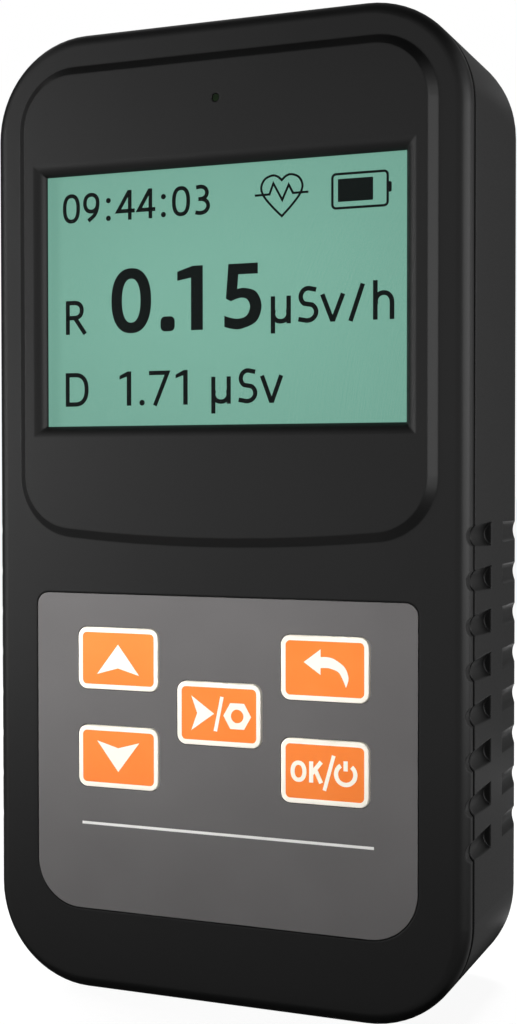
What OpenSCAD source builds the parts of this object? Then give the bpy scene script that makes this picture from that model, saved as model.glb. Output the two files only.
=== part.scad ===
// Hand-held geiger counter: a black two-shell case with scalloped grips, a raised
// bezel round a recessed display, a five-key pad, and a counter tube with its
// electronics and battery inside.
// The case stands upright: +X to the right, +Y to the back, +Z up.
// Modules draw face-on, with x to the right, y up and z as depth behind the flat front face.

/* [Case] */
// Width of the case across the grips
case_w = 62; // [60:0.5:70]
// Height of the case, standing upright
case_h = 120; // [116:0.5:132]
// Depth from the flat front face to the back face
case_d = 26.3; // [25:0.1:32]
// Corner radius of the case, seen from the front
corner_r = 12.5; // [11.5:0.5:14]
// Round along the front edge
front_round = 1.6; // [1:0.1:2.2]
// Round along the back edge
rear_round = 3.5; // [2:0.1:5]
// Wall thickness of both shells
wall = 2; // [1.7:0.1:2.4]
// Depth of the front shell's rim, up to the joint line
rim_d = 2.2; // [2.2:0.1:3]
// Width of the shadow groove along the joint line
joint_gap = 0.95; // [0.3:0.05:1.2]
// Depth of the shadow groove along the joint line
joint_depth = 0.7; // [0.4:0.05:1]
// Reach of the front shell's skirt into the rear shell
skirt_h = 1.8; // [1:0.1:2.5]
// Thickness of the skirt
skirt_t = 1; // [0.8:0.1:1.3]
// Clearance between the skirt and the rear shell
skirt_gap = 0.1; // [0.05:0.05:0.2]

/* [Grips] */
// Number of scallops in each row
scallop_count = 8; // [5:1:9]
// Distance from one scallop to the next
scallop_pitch = 5.22; // [4:0.02:6]
// Radius of a scallop
scallop_r = 1.58; // [1.2:0.02:2]
// Depth of a front-row scallop below the side wall, where the row ends
scallop_depth = 0.95; // [0.5:0.05:1.2]
// Depth of a rear-row scallop below the side wall
scallop_rear_depth = 0.65; // [0.3:0.05:1.2]
// Depth of a front-row scallop where it runs out at the front edge
scallop_shallow = 0.4; // [0.2:0.05:0.5]
// Height of the lowest scallop
scallop_low = 21.35; // [18:0.05:30]
// Depth at which the front row ends
scallop_front_end = 11; // [8:0.1:12]
// Depth at which the rear row starts
scallop_rear_start = 16.5; // [14:0.1:19]

/* [Bezel] */
// Margin from the side of the case to the foot of the bezel
bezel_side = 3.57; // [2.5:0.01:4]
// Margin from the top of the case to the foot of the bezel
bezel_top = 4.13; // [2.5:0.01:6]
// Height of the bezel at its middle
bezel_h = 59.68; // [56:0.01:64]
// How far the bezel stands out of the front face
bezel_raise = 0.9; // [0.4:0.05:1.4]
// Width of the bevel round the bezel
bezel_bevel = 1.1; // [0.5:0.05:1.6]
// Corner radius of the bezel's foot
bezel_r = 7.7; // [5:0.1:10]
// Radius of the bezel's bowed lower edge
bezel_bow_r = 219; // [150:1:400]

/* [Display] */
// Width of the display opening at the window
view_w = 47.2; // [40:0.1:50]
// Height of the display opening at the window
view_h = 31.3; // [26:0.05:34]
// Distance from the top of the bezel's foot down to the opening
view_drop = 13.52; // [10:0.01:16]
// How far each rounded wall of the recess spreads outwards
recess_run = 1.4; // [0.8:0.05:1.8]
// Angle at which the rounded walls leave the bezel's face
recess_lip = 10; // [6:1:20]
// Straight land between the rounded wall and the window
recess_land = 0.15; // [0.1:0.05:0.4]
// Depth of the window's face behind the front face
window_set = 0.3; // [0.25:0.05:0.9]
// Thickness of the window
window_t = 0.9; // [0.6:0.05:1.2]
// Width of the window's hidden rim at its sides and top
window_rim = 1.6; // [1:0.1:2]
// Width of the window's hidden rim below, over the display's contacts
window_rim_low = 4.3; // [3:0.1:6]
// Clearance round the window and the display in their seat
window_gap = 0.1; // [0.05:0.05:0.2]
// Clearance round the display glass in the same seat
lcd_gap = 0.3; // [0.1:0.05:0.5]
// Thickness of the display glass
lcd_t = 2.2; // [1.6:0.1:2.8]
// Number of contact pins of the display
lcd_pin_count = 16; // [8:2:20]
// Distance from one contact pin to the next
lcd_pin_pitch = 2.54; // [2:0.01:2.54]
// Side of a square contact pin
lcd_pin_w = 0.5; // [0.3:0.05:0.8]
// Distance from the top of the bezel's foot down to the lamp
lamp_drop = 5.65; // [4:0.05:8]
// Diameter of the lamp's light pipe at the bezel
lamp_d = 0.9; // [0.8:0.1:2]

/* [Keypad] */
// Margin from the side of the case to the keypad overlay
overlay_side = 5.93; // [4.5:0.01:7]
// Margin from the bottom of the case to the overlay
overlay_low = 10.37; // [8:0.01:14]
// Gap between the bezel's foot and the overlay
overlay_gap = 6.11; // [3:0.01:8]
// Thickness of the overlay sheet
overlay_t = 0.3; // [0.2:0.05:0.5]
// Radius of the overlay's upper corners
overlay_r_top = 1.5; // [0.8:0.1:4]
// Radius of the overlay's lower corners
overlay_r_low = 5.9; // [2:0.1:8]
// Clearance round the overlay in its recess
overlay_fit = 0.12; // [0.05:0.01:0.2]
// Width of a key
key_w = 11.11; // [8:0.01:12]
// Height of a key
key_h = 7.74; // [6:0.01:9]
// Corner radius of a key
key_r = 1.2; // [0.6:0.1:2]
// How far a key stands out of the front face
key_proud = 0.15; // [0.05:0.05:0.4]
// Sideways gap between the middle key and the outer columns
key_column_gap = 2.545; // [1.8:0.005:4]
// Margin from the overlay's top edge to the upper row of keys
key_top = 4.18; // [2.5:0.01:6]
// Gap between the upper row of keys and the lower row
key_row_gap = 4.58; // [3.6:0.02:6]
// Travel of a key
key_travel = 0.4; // [0.2:0.05:0.6]
// Clearance round a key in the overlay's window
key_fit = 0.12; // [0.08:0.01:0.2]
// Width of the flange that holds a key in behind the overlay
flange_w = 0.7; // [0.4:0.05:0.8]
// Thickness of the flange
flange_t = 0.6; // [0.4:0.05:1]
// Diameter of a key's stem
stem_d = 3; // [2:0.1:3.6]
// Radial clearance of a stem in its guide
stem_fit = 0.05; // [0.03:0.01:0.1]
// Thickness of the guide behind a key's pocket
guide_t = 1; // [0.8:0.1:1.6]

/* [Switches] */
// Side of a square switch
switch_w = 6; // [5:0.1:7]
// Height of a switch above the board
switch_h = 3.5; // [3:0.1:5]
// Thickness of a switch's metal cover
switch_cover_t = 0.3; // [0.2:0.05:0.5]
// Diameter of a switch's plunger
plunger_d = 3.4; // [2.6:0.1:4]
// Radial clearance of a plunger in its switch
plunger_fit = 0.08; // [0.05:0.01:0.1]

/* [Screws] */
// Distance from the case's sides and ends to a case screw
post_inset = 8.5; // [8.5:0.1:9.5]
// Radius of the front shell's screw posts
post_r = 3; // [2.4:0.1:3.2]
// Diameter of a case screw's shank
screw_d = 2; // [1.6:0.1:2.4]
// Length of a case screw's shank
screw_len = 10; // [6:0.5:12]
// Diameter of a case screw's head
screw_head_d = 4.4; // [3.6:0.1:4.6]
// Height of a case screw's head
screw_head_h = 1.6; // [1.2:0.1:2]
// Depth of a screw's head below the back face
screw_recess = 6; // [3:0.1:8]
// Thickness of the seat under a screw's head
screw_seat_t = 1.5; // [1:0.1:2.5]
// Diameter of a board screw's shank
board_screw_d = 1.6; // [1.4:0.1:2]
// Length of a board screw's shank
board_screw_len = 5; // [4:0.1:5.5]
// Diameter of a board screw's head
board_screw_head_d = 3.5; // [2.8:0.1:4]
// Height of a board screw's head
board_screw_head_h = 1.2; // [0.8:0.1:1.6]
// Radius of the posts that carry the board
board_post_r = 2.2; // [1.8:0.1:2.6]

/* [Board] */
// Thickness of the circuit board
board_t = 1.6; // [1:0.1:2]
// Clearance between the board and the skirt
board_gap = 0.9; // [0.4:0.1:1.5]
// Gap between the board's ends and the shell's end walls
board_end_gap = 1.2; // [0.6:0.1:2]
// Height of the lower board posts
board_post_low = 18; // [16:0.5:20]

/* [Counter tube] */
// Diameter of the tube
tube_d = 10; // [8:0.1:11]
// Length of the tube's glass
tube_len = 74; // [60:0.5:78]
// Thickness of the glass
tube_glass_t = 0.8; // [0.5:0.1:1.2]
// Thickness of the metal sleeve that lines the glass
cathode_t = 0.2; // [0.1:0.05:0.4]
// Diameter of the wire along the tube's axis
anode_d = 0.5; // [0.3:0.1:1]
// Length of an end cap
cap_len = 5; // [4:0.1:6]
// Thickness of an end cap's metal
cap_t = 0.3; // [0.2:0.05:0.5]
// Gap between the tube's caps and the board
tube_stand = 1.3; // [0.8:0.1:2]
// Width of a clip along the tube
clip_w = 3; // [2:0.1:3.5]
// Thickness of a clip's spring metal
clip_t = 0.4; // [0.3:0.05:0.6]

/* [Battery and port] */
// Width of the battery
battery_w = 27; // [22:0.5:28]
// Length of the battery
battery_len = 50; // [40:0.5:54]
// Thickness of the battery
battery_t = 8; // [5:0.1:8.5]
// Thickness of the foam tape behind the battery
tape_t = 0.8; // [0.5:0.1:1.2]
// Diameter of a battery lead
lead_d = 1.2; // [0.8:0.1:1.6]
// Width of the charging socket
usb_w = 8.94; // [8:0.01:10]
// Thickness of the charging socket
usb_t = 3.26; // [3:0.01:4]
// Length of the charging socket
usb_len = 7.35; // [6.5:0.05:9]
// Thickness of the charging socket's shell
usb_shell_t = 0.3; // [0.2:0.05:0.4]
// Clearance round the charging socket in the case
usb_fit = 0.3; // [0.15:0.05:0.5]
// How far the socket's mouth sits inside the bottom end
usb_set = 0.8; // [0.4:0.05:1.2]
// Diameter of the buzzer
buzzer_d = 12; // [9:0.5:13]
// Height of the buzzer
buzzer_h = 7; // [5:0.5:9]
// Diameter of a sound hole
sound_d = 1.4; // [1:0.1:2]
// Diameter of the vibration motor
motor_d = 10; // [8:0.5:11]
// Height of the vibration motor
motor_h = 2.7; // [2:0.1:3.5]

/* [Hidden] */
$fn = 48;
eps = 0.01;
past = 1;

// The bezel's outline
bezel_w = case_w - 2 * bezel_side;
bezel_z1 = case_h - bezel_top;
bezel_z0 = bezel_z1 - bezel_h;
bezel_root = wall / 2;
bezel_cx = bezel_w / 2 - bezel_r;
bezel_cy_top = bezel_z1 - bezel_r;
bow_cy = bezel_z0 + bezel_bow_r;
bezel_cy_low = bow_cy - sqrt(pow(bezel_bow_r - bezel_r, 2) - pow(bezel_cx, 2));
bow_half = asin(bezel_cx / (bezel_bow_r - bezel_r));
bow_lap = 4;
bow_band = bezel_r + bow_lap;

// The display's opening, window and glass
view_z1 = bezel_z1 - view_drop;
view_z0 = view_z1 - view_h;
recess_end = window_set - recess_land;
recess_turn = 2 * atan((bezel_raise + recess_end) / recess_run) - recess_lip;
recess_r = recess_run / (sin(recess_turn) - sin(recess_lip));
recess_out = recess_run + recess_r * sin(recess_lip);
recess_in = recess_r * cos(recess_lip) - bezel_raise;
seat_w = view_w + 2 * window_rim;
seat_z1 = view_z1 + window_rim;
seat_z0 = view_z0 - window_rim_low;
seat_h = seat_z1 - seat_z0;
lcd_front = window_set + window_t;
lcd_back = lcd_front + lcd_t;
lamp_y = bezel_z1 - lamp_drop;
lamp_flange_t = 0.8;
lamp_flange_w = 0.75;
lamp_rod_w = 0.3;
lamp_fit = 0.05;
lamp_set = 0.1;
led_w = 2;
led_h = 1.2;
led_t = 0.8;
pin_ledge = 4;

// The keypad: a stack from the overlay back to the board
overlay_w = case_w - 2 * overlay_side;
overlay_z1 = bezel_z0 - overlay_gap;
key_slack = 0.02;
flange_front = overlay_t + key_slack;
flange_back = flange_front + flange_t;
pocket_fit = 0.15;
pocket_spare = 0.1;
pocket_end = flange_back + key_travel + pocket_spare;
pocket_wall = 1;
key_edge = 0.15;
plunger_over = 0.3;
guide_back = pocket_end + guide_t;
stem_reach = 0.8;
stem_end = guide_back + stem_reach;
plunger_spare = 0.4;
switch_front = stem_end + key_travel + plunger_spare;
board_z = switch_front + switch_h;
board_back = board_z + board_t;
plunger_in = 1.6;
plunger_end = switch_front + plunger_in;
key_cells = [[-1, 0], [-1, 1], [0, 0.5], [1, 0], [1, 1]];
function key_x(i) = key_cells[i][0] * (key_w + key_column_gap);
function key_y(i) = overlay_z1 - key_top - key_h / 2 - key_cells[i][1] * (key_h + key_row_gap);

// The screws and their posts
rear_in = case_d - wall;
screw_gap = 0.1;
screw_fit = 0.02;
head_gap = 0.4;
head_wall = 1.2;
shank_gap = 0.25;
tip_gap = 0.5;
cross_reach = 0.3;
cross_half = 0.07;
seat_back = case_d - screw_recess - screw_head_h;
tube_tip = seat_back - screw_seat_t;
post_tip = tube_tip - screw_gap;
sleeve_r = screw_head_d / 2 + head_gap + head_wall;
post_x = case_w / 2 - post_inset;

// The board, a broad plate with a tab between the posts at each end
board_half = case_w / 2 - wall - skirt_gap - skirt_t - board_gap;
post_gap = 0.7;
tab_half = post_x - sleeve_r - post_gap;
board_low = post_inset + sleeve_r + post_gap;
tab_low = wall + board_end_gap;
board_post_edge = 1.2;
board_post_drop = 4;
board_post_x = board_half - board_post_r - board_post_edge;
board_post_y = [board_post_low, seat_z0 - board_post_r - board_post_drop];

// The counter tube beside the battery, and what else the board carries
cap_r = tube_d / 2 + cap_t;
clip_r = cap_r + clip_t;
tube_lift = 2;
nipple_d = 4;
nipple_len = 3;
tube_x = sleeve_r + post_gap + nipple_d / 2 - post_x;
tube_y = case_h / 2 + tube_lift;
tube_z = board_back + tube_stand + cap_r;
cap_grip = 3;
glass_end = 2;
tube_fit = 0.02;
clip_foot = 6;
clip_mouth = cap_r / 2;
battery_gap = 2;
battery_x = tube_x + clip_r + battery_gap + battery_w / 2;
battery_z0 = rear_in - tape_t - battery_t;
battery_drop = 5;
battery_y0 = (case_h - battery_len) / 2 - battery_drop;
battery_r = 1.5;
tape_in = 4;
battery_y1 = battery_y0 + battery_len;
connector_w = 6;
connector_l = 5;
connector_t = 4.5;
connector_side = 5;
connector_x = battery_x - connector_side;
lead_room = 5;
connector_y = battery_y1 + lead_room;
lead_bend = 2;
lead_step = 2.5;
lead_in = board_back + connector_t / 2;
lead_out = battery_z0 + battery_t / 2;
buzzer_edge = 1.5;
buzzer_x = board_half - buzzer_d / 2 - buzzer_edge;
buzzer_top = 8;
buzzer_y = case_h - board_low - buzzer_top - buzzer_d / 2;
buzzer_round = 0.6;
buzzer_hole_d = 2;
motor_side = 9.5;
motor_gap = 2;
motor_round = 0.4;
motor_x = battery_x - motor_side;
motor_y = battery_y0 - motor_gap - motor_d / 2;
transformer_w = 8.4;
transformer_l = 9;
transformer_h = 8;
core_t = 1.6;
winding_gap = 0.5;
transformer_gap = 2;
transformer_side = 5;
transformer_x = battery_x + transformer_side;
transformer_y = battery_y0 - transformer_gap - transformer_l / 2;
chip_w = 10;
chip_t = 1.4;
chip_y = battery_y0 + battery_len / 2;
chip_lead_count = 9;
chip_lead_pitch = 1;
chip_lead_w = 0.4;
chip_lead_l = 1;
capacitor_d = 5;
capacitor_h = 3.6;
capacitor_side = 8;
resistor_count = 6;
resistor_pitch = 4;
resistor_l = 2;
resistor_w = 1.25;
resistor_t = 0.6;
resistor_gap = 4;
choke_w = 5;
choke_l = 4;
choke_h = 3;
choke_gap = 1.5;
usb_z = board_back + usb_t / 2;
usb_corner = 1;
sound_ring = 3;
sound_count = 6;
usb_back_t = 0.8;
tongue_t = 0.7;
tongue_set = 1.2;
tongue_side = 0.85;
tongue_w = usb_w - 2 * (usb_shell_t + tongue_side);

// Maps the face-on drawing to the upright frame
module upright()
  translate([0, bezel_raise - (case_d + bezel_raise) / 2, 0])
    mirror([0, 1, 0]) rotate([90, 0, 0]) children();

// A rounded rectangle about the origin
module rounded(w, h, r) {
  square([w - 2 * r, h], center = true);
  square([w, h - 2 * r], center = true);
  for (x = [-1, 1], y = [-1, 1])
    translate([x * (w / 2 - r), y * (h / 2 - r)]) circle(r);
}

// The case's outline, drawn in by an inset
module outline(inset)
  translate([0, case_h / 2])
    rounded(case_w - 2 * inset, case_h - 2 * inset, corner_r - inset);

// The section of a slab's edge, with a round on its front and back corners
module edge_section(reach, z0, z1, round0, round1)
  difference() {
    translate([0, z0]) square([reach, z1 - z0]);
    if (round0 > 0)
      translate([reach - round0, z0]) difference() {
        translate([0, -past]) square([round0 + past, round0 + past]);
        translate([0, round0]) circle(round0);
      }
    if (round1 > 0)
      translate([reach - round1, z1 - round1]) difference() {
        square([round1 + past, round1 + past]);
        circle(round1);
      }
  }

// A slab with rounded corners whose edge rounds run on round the corners
module slab(w, h, r, z0, z1, round0, round1) {
  translate([r - w / 2, r - h / 2, z0]) cube([w - 2 * r, h - 2 * r, z1 - z0]);
  for (side = [0, 1]) mirror([side, 0, 0]) translate([w / 2 - r, h / 2 - r, 0])
    rotate([90, 0, 0]) linear_extrude(h - 2 * r) edge_section(r, z0, z1, round0, round1);
  for (end = [0, 1]) mirror([0, end, 0]) translate([r - w / 2, h / 2 - r, 0])
    rotate([90, 0, 90]) linear_extrude(w - 2 * r) edge_section(r, z0, z1, round0, round1);
  for (side = [0, 1], end = [0, 1]) mirror([side, 0, 0]) mirror([0, end, 0])
    translate([w / 2 - r, h / 2 - r, 0])
      rotate_extrude(angle = 90) edge_section(r, z0, z1, round0, round1);
}

module case_slab(z0, z1, round0, round1)
  translate([0, case_h / 2, 0]) slab(case_w, case_h, corner_r, z0, z1, round0, round1);

// Places a row of scallops on both sides, cut in by a depth
module at_scallops(z, depth)
  for (side = [0, 1], i = [0 : scallop_count - 1]) mirror([side, 0, 0])
    translate([case_w / 2 + scallop_r - depth, scallop_low + i * scallop_pitch, z]) children();

// The front row, which gets shallower towards the front edge
module front_scallops() at_scallops(scallop_front_end, scallop_depth)
  rotate([0, -atan((scallop_depth - scallop_shallow) / scallop_front_end), 0])
    translate([0, 0, -scallop_front_end - past]) cylinder(r = scallop_r, h = scallop_front_end + past);

module rear_scallops() at_scallops(scallop_rear_start, scallop_rear_depth)
  cylinder(r = scallop_r, h = case_d + past - scallop_rear_start);

// The section of the bezel's edge, from a line inside to its bevelled outside
module bezel_section(inner, outer)
  polygon([[inner, -bezel_raise], [outer - bezel_bevel, -bezel_raise], [outer, 0],
    [outer, bezel_root], [inner, bezel_root]]);

// The raised bezel with bevelled edges and a bowed lower edge
module bezel() {
  side_len = bezel_cy_top - bezel_cy_low;
  translate([-bezel_cx, bezel_cy_low, -bezel_raise])
    cube([2 * bezel_cx, side_len, bezel_raise + bezel_root]);
  translate([-bezel_cx, bezel_cy_top, 0]) rotate([90, 0, 90])
    linear_extrude(2 * bezel_cx) bezel_section(0, bezel_r);
  for (side = [0, 1]) mirror([side, 0, 0]) translate([bezel_cx, bezel_cy_top, 0]) {
    rotate([90, 0, 0]) linear_extrude(side_len) bezel_section(0, bezel_r);
    rotate_extrude(angle = 90) bezel_section(0, bezel_r);
    translate([0, -side_len, 0]) mirror([0, 1, 0])
      rotate_extrude(angle = 90 - bow_half) bezel_section(0, bezel_r);
  }
  translate([0, bow_cy, 0]) rotate([0, 0, -90 - bow_half])
    rotate_extrude(angle = 2 * bow_half) bezel_section(bezel_bow_r - bow_band, bezel_bow_r);
}

// A channel with rounded walls, from its half width at the window
module recess_prism(half, length)
  translate([0, 0, -length / 2]) linear_extrude(length) difference() {
    translate([-half - recess_run, -bezel_raise - past])
      square([2 * (half + recess_run), bezel_raise + past + recess_end]);
    for (side = [-1, 1]) translate([side * (half + recess_out), recess_in]) circle(recess_r);
  }

// The display opening: four rounded walls that meet in mitres, a land and the window's seat
module display_cut() {
  translate([0, (view_z0 + view_z1) / 2, 0]) {
    intersection() {
      rotate([90, 0, 0]) recess_prism(view_w / 2, 2 * view_h);
      rotate([90, 0, 90]) recess_prism(view_h / 2, 2 * view_w);
    }
    translate([-view_w / 2, -view_h / 2, recess_end - eps])
      cube([view_w, view_h, recess_land + 2 * eps]);
  }
  translate([-seat_w / 2, seat_z0, window_set]) cube([seat_w, seat_h, wall]);
}

// The overlay's outline, with wide lower corners
module overlay_outline(grow) {
  half = overlay_w / 2 + grow;
  low = overlay_low - grow;
  top = overlay_z1 + grow;
  r_top = overlay_r_top + grow;
  r_low = overlay_r_low + grow;
  translate([-half, low + r_low]) square([2 * half, top - r_top - low - r_low]);
  translate([r_top - half, low + r_low]) square([2 * (half - r_top), top - low - r_low]);
  translate([r_low - half, low]) square([2 * (half - r_low), r_low + past]);
  for (side = [-1, 1]) {
    translate([side * (half - r_top), top - r_top]) circle(r_top);
    translate([side * (half - r_low), low + r_low]) circle(r_low);
  }
}

// Places a thing at each of the five keys
module at_keys()
  for (i = [0 : len(key_cells) - 1]) translate([key_x(i), key_y(i), 0]) children();

module at_posts()
  for (x = [-1, 1], y = [post_inset, case_h - post_inset]) translate([x * post_x, y, 0]) children();

module at_board_posts()
  for (x = [-1, 1], y = board_post_y) translate([x * board_post_x, y, 0]) children();

// The pocket of a key's flange in the front shell, or the guide round it
module key_pocket_outline(grow)
  rounded(key_w + 2 * (flange_w + grow), key_h + 2 * (flange_w + grow), key_r + flange_w + grow);

module front_case() color("#242426") upright() difference() {
  union() {
    difference() {
      union() {
        case_slab(0, rim_d, front_round, 0);
        translate([0, 0, rim_d / 2]) linear_extrude(rim_d / 2 + skirt_h) outline(wall + skirt_gap);
      }
      translate([0, 0, wall]) linear_extrude(rim_d + skirt_h) outline(wall + skirt_gap + skirt_t);
    }
    bezel();
    at_posts() translate([0, 0, wall / 2]) cylinder(r = post_r, h = post_tip - wall / 2);
    at_board_posts() translate([0, 0, wall / 2]) cylinder(r = board_post_r, h = board_z - wall / 2);
    at_keys() translate([0, 0, wall / 2]) linear_extrude(guide_back - wall / 2)
      key_pocket_outline(pocket_fit + pocket_wall);
  }
  front_scallops();
  display_cut();
  translate([0, 0, -past]) linear_extrude(overlay_t + past) overlay_outline(overlay_fit);
  at_keys() {
    linear_extrude(pocket_end) key_pocket_outline(pocket_fit);
    cylinder(r = stem_d / 2 + stem_fit, h = guide_back + past);
  }
  at_posts() translate([0, 0, seat_back - screw_len - tip_gap])
    cylinder(r = screw_d / 2 + screw_fit, h = screw_len + tip_gap);
  at_board_posts() translate([0, 0, board_back - board_screw_len - tip_gap])
    cylinder(r = board_screw_d / 2 + screw_fit, h = board_screw_len + tip_gap);
  translate([0, lamp_y, -bezel_raise - past])
    cylinder(r = lamp_d / 2 + lamp_fit, h = bezel_raise + wall + 2 * past);
}

module rear_case() color("#1f1f21") upright() difference() {
  union() {
    difference() {
      case_slab(rim_d, case_d, 0, rear_round);
      translate([0, 0, rim_d - past]) linear_extrude(rear_in - rim_d + past) outline(wall);
    }
    at_posts() translate([0, 0, tube_tip]) cylinder(r = sleeve_r, h = rear_in + wall / 2 - tube_tip);
  }
  translate([0, 0, rim_d - past]) linear_extrude(joint_gap + past) difference() {
    outline(-past);
    outline(joint_depth);
  }
  front_scallops();
  rear_scallops();
  at_posts() {
    translate([0, 0, seat_back])
      cylinder(r = screw_head_d / 2 + head_gap, h = screw_recess + screw_head_h + past);
    translate([0, 0, tube_tip - past])
      cylinder(r = screw_d / 2 + shank_gap, h = screw_seat_t + 2 * past);
  }
  translate([0, -past, usb_z]) rotate([-90, 0, 0]) linear_extrude(wall + 2 * past)
    rounded(usb_w + 2 * usb_fit, usb_t + 2 * usb_fit, usb_corner + usb_fit);
  translate([buzzer_x, buzzer_y, rear_in - past]) {
    cylinder(d = sound_d, h = wall + 2 * past);
    for (i = [0 : sound_count - 1]) rotate([0, 0, i * 360 / sound_count])
      translate([sound_ring, 0, 0]) cylinder(d = sound_d, h = wall + 2 * past);
  }
}

module display_window() color("#d8e4e2", 0.3) upright()
  translate([window_gap - seat_w / 2, seat_z0 + window_gap, window_set])
    cube([seat_w - 2 * window_gap, seat_h - 2 * window_gap, window_t]);

module lcd_glass() color("#78b29d") upright()
  translate([lcd_gap - seat_w / 2, seat_z0 + lcd_gap, lcd_front])
    cube([seat_w - 2 * lcd_gap, seat_h - 2 * lcd_gap, lcd_t]);

// A light guide from the display back to the board, clear of the contact pins
module lcd_backlight() color("white") upright()
  translate([lcd_gap - seat_w / 2, seat_z0 + pin_ledge, lcd_back])
    cube([seat_w - 2 * lcd_gap, seat_h - pin_ledge - lcd_gap, board_z - lcd_back]);

module lcd_pins() color("silver") upright()
  for (i = [0 : lcd_pin_count - 1])
    translate([(i - (lcd_pin_count - 1) / 2) * lcd_pin_pitch - lcd_pin_w / 2,
      seat_z0 + pin_ledge / 2 - lcd_pin_w / 2, lcd_back])
      cube([lcd_pin_w, lcd_pin_w, board_z - lcd_back]);

module keypad_overlay() color("#6f6d6e") upright() linear_extrude(overlay_t) difference() {
  overlay_outline(0);
  at_keys() rounded(key_w + 2 * key_fit, key_h + 2 * key_fit, key_r + key_fit);
}

// A key: its cap, the flange that holds it in, and the stem that presses the switch
module key(i) color("#ff8a3c") upright() translate([key_x(i), key_y(i), 0]) {
  slab(key_w, key_h, key_r, -key_proud, flange_back, key_edge, 0);
  translate([0, 0, flange_front]) linear_extrude(flange_t) key_pocket_outline(0);
  translate([0, 0, flange_back]) cylinder(d = stem_d, h = stem_end - flange_back);
}

module up_key() key(0);
module down_key() key(1);
module set_key() key(2);
module back_key() key(3);
module ok_key() key(4);

module plunger(i) color("#30302f") upright() translate([key_x(i), key_y(i), stem_end])
  cylinder(d = plunger_d, h = plunger_end - stem_end);

module up_plunger() plunger(0);
module down_plunger() plunger(1);
module set_plunger() plunger(2);
module back_plunger() plunger(3);
module ok_plunger() plunger(4);

module tact_switches() color("#1c1c1c") upright() at_keys() difference() {
  translate([-switch_w / 2, -switch_w / 2, switch_front + switch_cover_t])
    cube([switch_w, switch_w, switch_h - switch_cover_t]);
  cylinder(r = plunger_d / 2 + plunger_fit, h = plunger_end + key_travel + plunger_over);
}

module switch_covers() color("silver") upright() at_keys() translate([0, 0, switch_front])
  linear_extrude(switch_cover_t) difference() {
    square(switch_w, center = true);
    circle(plunger_d / 2 + plunger_fit);
  }

module main_board() color("#1d6b3c") upright() translate([0, 0, board_z]) linear_extrude(board_t)
  difference() {
    union() {
      translate([-board_half, board_low]) square([2 * board_half, case_h - 2 * board_low]);
      translate([-tab_half, tab_low]) square([2 * tab_half, case_h - 2 * tab_low]);
    }
    at_board_posts() circle(board_screw_d / 2 + shank_gap);
  }

// A round-headed screw that points to the front, with a cross sized by its head
module screw(shank_d, shank_len, head_d, head_h) difference() {
  union() {
    rotate_extrude() edge_section(head_d / 2, 0, head_h, 0, head_h / 2);
    translate([0, 0, -shank_len]) cylinder(d = shank_d, h = shank_len + eps);
  }
  for (turn = [0, 90]) rotate([0, 0, turn])
    translate([-cross_reach * head_d, -cross_half * head_d, head_h / 2])
      cube([2 * cross_reach * head_d, 2 * cross_half * head_d, head_h]);
}

module board_screws() color("silver") upright() at_board_posts() translate([0, 0, board_back])
  screw(board_screw_d, board_screw_len, board_screw_head_d, board_screw_head_h);

module case_screws() color("silver") upright() at_posts() translate([0, 0, seat_back])
  screw(screw_d, screw_len, screw_head_d, screw_head_h);

// Stands a tube piece on its axis, from the middle of the tube upwards
module on_tube(y) translate([tube_x, tube_y + y, tube_z]) rotate([-90, 0, 0]) children();

module tube_glass() color("#cfe0e0", 0.5) upright() on_tube(-tube_len / 2) difference() {
  cylinder(d = tube_d, h = tube_len);
  translate([0, 0, glass_end]) cylinder(r = tube_d / 2 - tube_glass_t, h = tube_len - 2 * glass_end);
  translate([0, 0, -past]) cylinder(r = anode_d / 2 + tube_fit, h = tube_len + 2 * past);
}

module tube_cathode() color("#8f8a80") upright() on_tube(glass_end - tube_len / 2)
  linear_extrude(tube_len - 2 * glass_end) difference() {
    circle(tube_d / 2 - tube_glass_t - tube_fit);
    circle(tube_d / 2 - tube_glass_t - tube_fit - cathode_t);
  }

module tube_anode() color("#c8c8c8") upright() on_tube(-tube_len / 2) cylinder(d = anode_d, h = tube_len);

module tube_caps() color("#b8b8b4") upright() for (end = [0, 1])
  translate([0, end * 2 * tube_y, 0]) mirror([0, end, 0]) on_tube(tube_len / 2 - cap_grip) {
    difference() {
      cylinder(r = cap_r, h = cap_len);
      translate([0, 0, -past]) cylinder(r = tube_d / 2 + tube_fit, h = cap_grip + past);
    }
    translate([0, 0, cap_len - eps]) cylinder(d = nipple_d, h = nipple_len + eps);
  }

// A sprung clip round each cap, open at the back, with its foot on the board
module tube_clips() color("#c9a24a") upright() for (end = [-1, 1])
  translate([tube_x, tube_y + end * (tube_len / 2 - cap_grip + cap_len / 2) - clip_w / 2, tube_z])
    rotate([-90, 0, 0]) linear_extrude(clip_w) difference() {
      union() {
        circle(clip_r);
        translate([-clip_foot / 2, 0]) square([clip_foot, tube_z - board_back]);
      }
      circle(cap_r + tube_fit);
      translate([-2 * clip_r, -2 * clip_r]) square([4 * clip_r, 2 * clip_r - clip_mouth]);
    }

// A small step-up transformer: two core halves, a bobbin and its winding
module hv_transformer() color("#3a3a3c") upright()
  translate([transformer_x, transformer_y, board_back]) {
    for (end = [-1, 1])
      translate([-transformer_w / 2, end * (transformer_l - core_t) / 2 - core_t / 2, 0])
        cube([transformer_w, core_t, transformer_h]);
    for (side = [-1, 1])
      translate([side * (transformer_w - core_t) / 2 - core_t / 2, -transformer_l / 2, 0])
        cube([core_t, transformer_l, transformer_h]);
    translate([0, transformer_l / 2, transformer_h / 2]) rotate([90, 0, 0])
      cylinder(d = transformer_w - 2 * (core_t + winding_gap), h = transformer_l);
  }

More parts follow.
